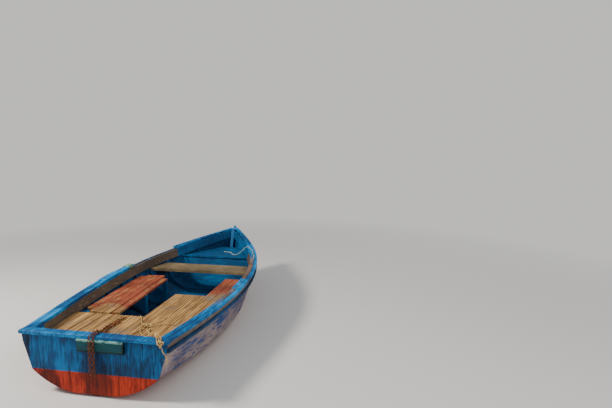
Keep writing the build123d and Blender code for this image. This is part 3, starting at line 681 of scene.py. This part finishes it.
open_here = between(tree, worn_along, 0.34, 0.52)
depth = maths(tree, "MULTIPLY", between(tree, from_edge, 0.15, 0.05), open_here)
crack_share = maths(tree, "MULTIPLY", depth, given["Share"])
strip_place = tree.nodes.new("ShaderNodeCombineXYZ")
feed(tree, strip_place.inputs["X"], maths(tree, "MULTIPLY", ways["X"], 1.3))
feed(tree, strip_place.inputs["Y"], strip)
strip_tone = noise(tree, strip_place.outputs[0], 1.7, 2.0)
fibres = noise(tree, vector_maths(tree, "MULTIPLY", place, (2.0, 60, 60)), 4.0, 8.0, 0.7)
tone = maths(tree, "ADD", maths(tree, "MULTIPLY", strip_tone, 0.5), maths(tree, "MULTIPLY", fibres, 0.5))
board = blend(tree, between(tree, tone, 0.38, 0.62), given["Dark"], given["Light"])
greyed = blend(tree, between(tree, noise(tree, place, 4.0), 0.48, 0.7), board, colour("86755e"))
feed(tree, result["Color"], blend(tree, crack_share, greyed, given["Crack"]))
feed(tree, result["Roughness"], maths(tree, "MULTIPLY_ADD", tone, 0.2, 0.7))
feed(tree, result["Height"], maths(tree, "MULTIPLY_ADD", depth, -1.0, maths(tree, "MULTIPLY", fibres, 0.3)))

tan_boards = group_material("tan_boards", grooved_wood, Pitch=0.024, Share=0.95)
finish(tan_boards, ("stern_sheets", "starboard_boards"))


# Benches
# Side benches of narrow boards, in red-brown paint that fades into bare weathered wood aft,
# further forward to starboard than to port.
def bench_material(name, fade_place, ragged):
    material, tree, shader = new_material(name)
    painted_part = placed(
        tree,
        worn_paint,
        Paint=colour("7c3a26"),
        Second=colour("b3593a"),
        Bare=colour("a8824f"),
        Wear=0.5,
        Stretch=(1.0, 14.0, 14.0),
        Patch=(0.5, 2.0, 2.0),
        Seed=13.0,
    )
    wooden_part = placed(tree, grooved_wood, Pitch=0.03, Share=0.8)
    place = object_place(tree)
    fade_start = transom_face + fade_place - ragged
    wander = maths(tree, "MULTIPLY_ADD", noise(tree, place, 6.0), 2 * ragged, fade_start)
    fore = between(tree, maths(tree, "SUBTRACT", split(tree, place)["X"], wander), -0.06, 0.10)
    shown = blend(tree, fore, wooden_part["Color"], painted_part["Color"])
    dress(tree, shader, shown, painted_part["Roughness"], wooden_part["Height"])
    return material


half_red = bench_material("half_red", 1.18, 0.25)
mostly_red = bench_material("mostly_red", 0.74, 0.42)
finish(half_red, ("starboard_bench",))
finish(mostly_red, ("port_bench",))

# Thwart
# One wide bare plank across the boat on a blue cleat at each side, with its grain athwart.
thwart_wood = group_material(
    "thwart_wood",
    worn_paint,
    Paint=colour("5d4f3a"),
    Second=colour("8f7a57"),
    Bare=colour("443a2e"),
    Wear=0.38,
    Stretch=(16.0, 1.0, 16.0),
    Seed=21.0,
)
finish(thwart_wood, ("thwart",))
finish(frame_blue, both("thwart_cleat"))

# Bow seat
# A blue seat of boards in the bow, on cleats at the sides and closed aft by a bulkhead.
finish(bow_blue, ("bow_seat",))
finish(bow_blue, ("bow_bulkhead",))
finish(frame_blue, both("bow_seat_cleat"))

# Chain
# Two strands of rusty welded links, laid over the transom rail from the stern sheets.
finish(rust, ("chain",))


# Ropes
# Hemp and pale rope of three strands, laid round the smooth line of each route. The routes' points
# are the part's own, but the lashing's second and third turns are in this scene alone.
def rope_material(name, light, dark):
    material, tree, shader = new_material(name)
    place = object_place(tree)
    fibres = noise(tree, place, 260.0, 6.0, 0.7)
    stains_and_shade = noise(tree, place, 22.0)
    tone = maths(tree, "ADD", maths(tree, "MULTIPLY", fibres, 0.6), maths(tree, "MULTIPLY", stains_and_shade, 0.4))
    dress(tree, shader, blend(tree, between(tree, tone, 0.4, 0.62), dark, light), 0.92, fibres, 0.0006)
    return material


hemp = rope_material("hemp", colour("e6c585"), colour("a07c42"))
pale_rope = rope_material("pale_rope", colour("cfd6c4"), colour("8c9c88"))
finish(hemp, [name for name in nodes if name.startswith("rope")])
finish(pale_rope, ("painter",))

strand_turns_per_metre = 38
strand_count = 3
strand_share = 0.3
strand_step = 0.0025
line_points = 24
knot_rope = 0.010
knot_steps = 18
knot_widest = 2.75
knot_margin = 0.55
fibre_count = 14
fibre_share = 0.09
fibre_turn = 2.4
fibre_points = 4
keel_depth = 22


def at(place, side, up):
    return Vector((transom_face + place / 1000, side / 1000, (keel_depth + up) / 1000))


def smooth_line(points):
    """Points read from the NURBS line whose control points are the route's."""
    curve = bpy.data.curves.new("line", "CURVE")
    curve.dimensions = "3D"
    curve.resolution_u = line_points
    spline = curve.splines.new("NURBS")
    spline.points.add(len(points) - 1)
    for point, place in zip(spline.points, points):
        point.co = (*place, 1)
    spline.order_u = 3
    spline.use_endpoint_u = True
    carrier = bpy.data.objects.new("line", curve)
    bpy.context.collection.objects.link(carrier)
    mesh = bpy.data.meshes.new_from_object(carrier)
    line = [vertex.co.copy() for vertex in mesh.vertices]
    bpy.data.objects.remove(carrier)
    return line


def laid_rope(name, points, thick, material):
    """Strands wound round the line, as one mesh, with the line's length."""
    line = smooth_line(points)
    length = sum((far - near).length for near, far in zip(line, line[1:]))
    curve = bpy.data.curves.new(name, "CURVE")
    curve.dimensions = "3D"
    curve.bevel_depth = thick * strand_share
    curve.bevel_resolution = 2
    curve.use_fill_caps = True
    side = Vector((0, 0, 1)).cross(line[1] - line[0]).normalized()
    offsets = []
    travelled = 0
    fine = []
    for near, far in zip(line, line[1:]):
        pieces = max(1, round((far - near).length / strand_step))
        fine += [near.lerp(far, i / pieces) for i in range(pieces)]
    fine.append(line[-1])
    for i, point in enumerate(fine):
        ahead = fine[min(i + 1, len(fine) - 1)] - fine[max(i - 1, 0)]
        ahead.normalize()
        side = (side - ahead * side.dot(ahead)).normalized()
        if i:
            travelled += (point - fine[i - 1]).length
        offsets.append((point, side.copy(), ahead.cross(side), travelled))
    for strand in range(strand_count):
        spline = curve.splines.new("POLY")
        spline.points.add(len(fine) - 1)
        start = 2 * pi * strand / strand_count
        for target, (point, across, over, travelled) in zip(spline.points, offsets):
            angle = start + 2 * pi * strand_turns_per_metre * travelled
            outward = across * cos(angle) + over * sin(angle)
            target.co = (*(point + outward * thick * (0.5 - strand_share)), 1)
    carrier = bpy.data.objects.new(name, curve)
    bpy.context.collection.objects.link(carrier)
    mesh = bpy.data.meshes.new_from_object(carrier)
    bpy.data.objects.remove(carrier)
    rope = bpy.data.objects.new(name, mesh)
    bpy.context.collection.objects.link(rope)
    mesh.materials.clear()
    mesh.materials.append(material)
    return rope, line, length


boards_up = 357.5
rim_up = 441.1
outer_fore = -14.6
outer_place = -28.1
outer_low = 396
seat_up = 424.6
routes = {
    "rope_lashing": (
        9,
        "object",
        (
            (340, -222, boards_up),
            (322, -222, boards_up),
            (290, -252, boards_up),
            (240, -300, boards_up),
            (182, -352, 382),
            (130, -402, 432),
            (80, -446, rim_up + 4),
            (34, -490, rim_up),
            (8, -510, rim_up - 1),
            (outer_fore, -510, rim_up - 1),
        ),
    ),
    "lashing_second_turn": (
        8,
        "object",
        (
            (346, -236, boards_up - 1),
            (318, -250, boards_up),
            (262, -268, boards_up),
            (214, -306, boards_up + 2),
            (164, -352, 388),
            (112, -408, 436),
            (66, -440, rim_up + 5),
            (30, -470, rim_up),
            (4, -496, rim_up),
            (outer_fore, -500, rim_up - 4),
        ),
    ),
    "lashing_third_turn": (
        7,
        "object",
        (
            (352, -174, boards_up),
            (318, -168, boards_up + 4),
            (262, -208, boards_up),
            (206, -262, boards_up),
            (164, -318, 376),
            (122, -380, 424),
            (76, -426, rim_up + 4),
            (30, -456, rim_up - 1),
            (6, -478, rim_up - 1),
            (-18, -486, rim_up - 2),
            (-28, -498, 436),
        ),
    ),
    "rope_tail": (
        7,
        "bare",
        (
            (outer_place, -530, outer_low),
            (outer_place, -530, outer_low - 22),
            (outer_place + 2, -548, outer_low - 44),
            (outer_place + 3, -562, outer_low - 66),
            (outer_place + 3, -561, outer_low - 92),
        ),
    ),
    "rope_end_1": (
        7,
        "bare",
        (
            (395, -175, boards_up),
            (395, -157, boards_up),
            (446, -108, boards_up),
            (500, -84, boards_up),
            (552, -42, boards_up),
        ),
    ),
    "rope_end_2": (
        7,
        "bare",
        (
            (410, -220, boards_up),
            (428, -220, boards_up),
            (484, -252, boards_up),
            (530, -258, boards_up),
            (575, -276, boards_up),
        ),
    ),
    "rope_end_3": (
        7,
        "bare",
        (
            (398, -235, boards_up),
            (398, -253, boards_up),
            (438, -306, boards_up),
            (448, -350, boards_up),
            (440, -392, boards_up),
        ),
    ),
    "rope_end_4": (
        7,
        "bare",
        ((340, -192, boards_up), (322, -192, boards_up), (270, -160, boards_up), (214, -152, boards_up)),
    ),
    "painter": (
        8,
        "bare",
        (
            (2590, -30, seat_up),
            (2600, -95, seat_up),
            (2545, -150, seat_up),
            (2470, -185, seat_up),
            (2432, -250, seat_up + 6),
            (2410, -318, seat_up + 56),
            (2372, -400.6, 564.8),
            (2310, -472.3, 548.1),
            (2220, -519.4, 538.8),
            (2130, -544.7, 530.0),
            (2040, -588.1, 521.7),
            (1960, -602.9, 514.7),
        ),
    ),
}


def knot_of_rope(name, node, thick, flat):
    """A three-lobed knot of one laid rope that fills its node's box, thin along one axis."""
    low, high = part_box(node)
    centre, reach = (low + high) / 2, (high - low) / 2
    wide, tall = [axis for axis in (0, 1, 2) if axis != flat]
    points = []
    for step in range(knot_steps + 1):
        angle = 2 * pi * step / knot_steps
        lobes = (
            (sin(angle) + 2 * sin(2 * angle)) / knot_widest,
            (cos(angle) - 2 * cos(2 * angle)) / knot_widest,
            -sin(3 * angle),
        )
        point = centre.copy()
        for axis, share in zip((wide, tall, flat), lobes):
            point[axis] += share * (reach[axis] - thick * knot_margin)
        points.append(point)
    turns, _, _ = laid_rope(name, points, thick, hemp)
    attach(turns, "root")
    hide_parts(node)
    return turns


def frayed_end(name, line, thick, material):
    """Loose fibres that fan out of a cut end."""
    way = (line[-1] - line[-4]).normalized()
    across = way.cross(Vector((0, 0, 1)))
    if across.length < 0.1:
        across = Vector((0, 1, 0))
    across.normalize()
    over = across.cross(way)
    curve = bpy.data.curves.new(name, "CURVE")
    curve.dimensions = "3D"
    curve.bevel_depth = thick * fibre_share
    curve.bevel_resolution = 0
    for fibre in range(fibre_count):
        angle = fibre * fibre_turn
        spread = 0.25 + 0.75 * (fibre % 4) / 3
        reach = thick * (1.4 + 0.5 * (fibre % 3))
        spline = curve.splines.new("POLY")
        spline.points.add(fibre_points - 1)
        for i, point in enumerate(spline.points):
            share = i / (fibre_points - 1)
            turned = across * cos(angle) + over * sin(angle) * 0.4
            spot = line[-1] - way * thick * 0.4 + way * reach * share
            spot += turned * thick * (0.25 + spread * share * share)
            point.co = (*spot, 1)
    carrier = bpy.data.objects.new(name, curve)
    bpy.context.collection.objects.link(carrier)
    mesh = bpy.data.meshes.new_from_object(carrier)
    bpy.data.objects.remove(carrier)
    fray = bpy.data.objects.new(name, mesh)
    bpy.context.collection.objects.link(fray)
    mesh.materials.clear()
    mesh.materials.append(material)
    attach(fray, "root")
    return fray


inner_knot = knot_of_rope("inner_knot_turns", "rope_inner_knot", knot_rope, 2)
outer_knot = knot_of_rope("outer_knot_turns", "rope_outer_knot", knot_rope, 0)
for name, (thick, far_end, route) in routes.items():
    points = [at(*point) for point in route]
    material = pale_rope if name == "painter" else hemp
    rope, line, length = laid_rope(f"{name}_laid", points, thick / 1000, material)
    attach(rope, "root")
    if name in nodes:
        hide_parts(name)
    carried = [inner_knot, outer_knot] if name == "rope_lashing" else []
    if far_end == "bare":
        carried = [frayed_end(f"{name}_fray", line, thick / 1000, material)]


# Nail heads
# Rows of rusty iron heads where boards cross their bearers and planks cross the frames, and on the
# transom rail and the motor pad. Each is set on the first surface that a line to its place meets.
nail_radius = 0.0024
nail_proud = 0.0006
nail_top_share = 0.6
nail_sunk_share = 0.6
nail_sides = 8
first_frame = 0.160
frame_pitch = 0.240
frame_count = 9
plank_nail_heights = (0.20, 0.235, 0.34, 0.37)
strake_nail_heights = (0.395, 0.43, 0.47, 0.51)
above_all = 0.9
beside_all = 1.2
behind_all = 0.6
rail_nail_count = 19
rail_nail_first = -0.51
rail_nail_pitch = 0.0567
rail_nail_in = 0.02
rail_nail_stagger = 0.012
pad_nail_sides = (0.085, 0.02, -0.1, -0.16, -0.225)
pad_nail_heights = (pad_low.z + 0.018, pad_high.z - 0.022)
nail_spots = []


def nail_at(node, start, way):
    """A nail's place and direction on the first face of the node that the line from start meets."""
    hit, spot, normal, _ = nodes[node].ray_cast(Vector(start), Vector(way))
    if hit:
        nail_spots.append((spot - normal * nail_proud * nail_sunk_share, normal.normalized()))


# Each row: node, place of the row, first and last side, spacing, in metres
board_rows = (
    ("stern_sheets", 0.10, -0.50, 0.50, 0.047),
    ("stern_sheets", 0.40, -0.50, 0.50, 0.047),
    ("stern_sheets", 0.548, -0.50, 0.50, 0.047),
    ("starboard_boards", 0.64, -0.36, -0.07, 0.047),
    ("starboard_boards", 1.10, -0.36, -0.07, 0.047),
    ("starboard_bench", 0.64, -0.58, -0.37, 0.042),
    ("starboard_bench", 1.12, -0.60, -0.37, 0.042),
    ("starboard_bench", 1.60, -0.60, -0.37, 0.042),
    ("port_bench", 0.64, 0.18, 0.60, 0.033),
    ("port_bench", 1.12, 0.18, 0.60, 0.033),
    ("port_bench", 1.58, 0.18, 0.60, 0.033),
    ("thwart", 1.92, -0.60, 0.60, 0.30),
    ("thwart", 2.02, -0.60, 0.60, 0.30),
    ("bow_seat", 2.40, -0.30, 0.30, 0.05),
)
for node, row_place, first, last, spacing in board_rows:
    for step in range(int((last - first) / spacing) + 1):
        nail_at(node, (transom_face + row_place, first + spacing * step, above_all), (0, 0, -1))
for frame_number in range(frame_count):
    x = transom_face + first_frame + frame_pitch * frame_number
    for end, side in (("starboard", -1), ("port", 1)):
        for up in plank_nail_heights:
            nail_at(f"topside_plank_{end}", (x, side * beside_all, up), (0, -side, 0))
        for up in strake_nail_heights:
            nail_at(f"rubbing_strake_{end}", (x, side * beside_all, up), (0, -side, 0))
for step in range(rail_nail_count):
    x = transom_face + rail_nail_in + rail_nail_stagger * (step % 2)
    nail_at("transom_rail", (x, rail_nail_first + step * rail_nail_pitch, above_all), (0, 0, -1))
for y in pad_nail_sides:
    for up in pad_nail_heights:
        nail_at("motor_pad", (transom_face - behind_all, y, up), (1, 0, 0))

spot_mesh = bpy.data.meshes.new("nail_spots")
spot_mesh.from_pydata([spot for spot, _ in nail_spots], [], [])
facing = spot_mesh.attributes.new("facing", "FLOAT_VECTOR", "POINT")
for value, (_, normal) in zip(facing.data, nail_spots):
    value.vector = normal

heads = bpy.data.node_groups.new("heads_on_spots", "GeometryNodeTree")
heads.interface.new_socket("Spots", in_out="INPUT", socket_type="NodeSocketGeometry")
sizes_in = {
    label: heads.interface.new_socket(label, in_out="INPUT", socket_type="NodeSocketFloat").identifier
    for label in ("Radius", "Top Radius", "Depth")
}
heads.interface.new_socket("Heads", in_out="OUTPUT", socket_type="NodeSocketGeometry")
given = heads.nodes.new("NodeGroupInput").outputs
result = heads.nodes.new("NodeGroupOutput").inputs
head = heads.nodes.new("GeometryNodeMeshCone")
head.inputs["Vertices"].default_value = nail_sides
heads.links.new(given["Radius"], head.inputs["Radius Bottom"])
heads.links.new(given["Top Radius"], head.inputs["Radius Top"])
heads.links.new(given["Depth"], head.inputs["Depth"])
outward = heads.nodes.new("GeometryNodeInputNamedAttribute")
outward.data_type = "FLOAT_VECTOR"
outward.inputs["Name"].default_value = "facing"
turned_out = heads.nodes.new("FunctionNodeAlignRotationToVector")
turned_out.axis = "Z"
heads.links.new(outward.outputs["Attribute"], turned_out.inputs["Vector"])
on_spots = heads.nodes.new("GeometryNodeInstanceOnPoints")
heads.links.new(given["Spots"], on_spots.inputs["Points"])
heads.links.new(head.outputs["Mesh"], on_spots.inputs["Instance"])
heads.links.new(turned_out.outputs["Rotation"], on_spots.inputs["Rotation"])
real = heads.nodes.new("GeometryNodeRealizeInstances")
heads.links.new(on_spots.outputs["Instances"], real.inputs["Geometry"])
rusted = heads.nodes.new("GeometryNodeSetMaterial")
rusted.inputs["Material"].default_value = rust
heads.links.new(real.outputs["Geometry"], rusted.inputs["Geometry"])
heads.links.new(rusted.outputs["Geometry"], result["Heads"])

spot_carrier = bpy.data.objects.new("nail_spots", spot_mesh)
bpy.context.collection.objects.link(spot_carrier)
laying = spot_carrier.modifiers.new("heads", "NODES")
laying.node_group = heads
laying[sizes_in["Radius"]] = nail_radius
laying[sizes_in["Top Radius"]] = nail_radius * nail_top_share
laying[sizes_in["Depth"]] = nail_proud * 2
laid = spot_carrier.evaluated_get(bpy.context.evaluated_depsgraph_get())
nail_mesh = bpy.data.meshes.new_from_object(laid)
bpy.data.objects.remove(spot_carrier)
nail_mesh.name = "nail_heads"
nail_mesh.shade_flat()
nail_heads = bpy.data.objects.new("nail_heads", nail_mesh)
bpy.context.collection.objects.link(nail_heads)
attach(nail_heads, "root")
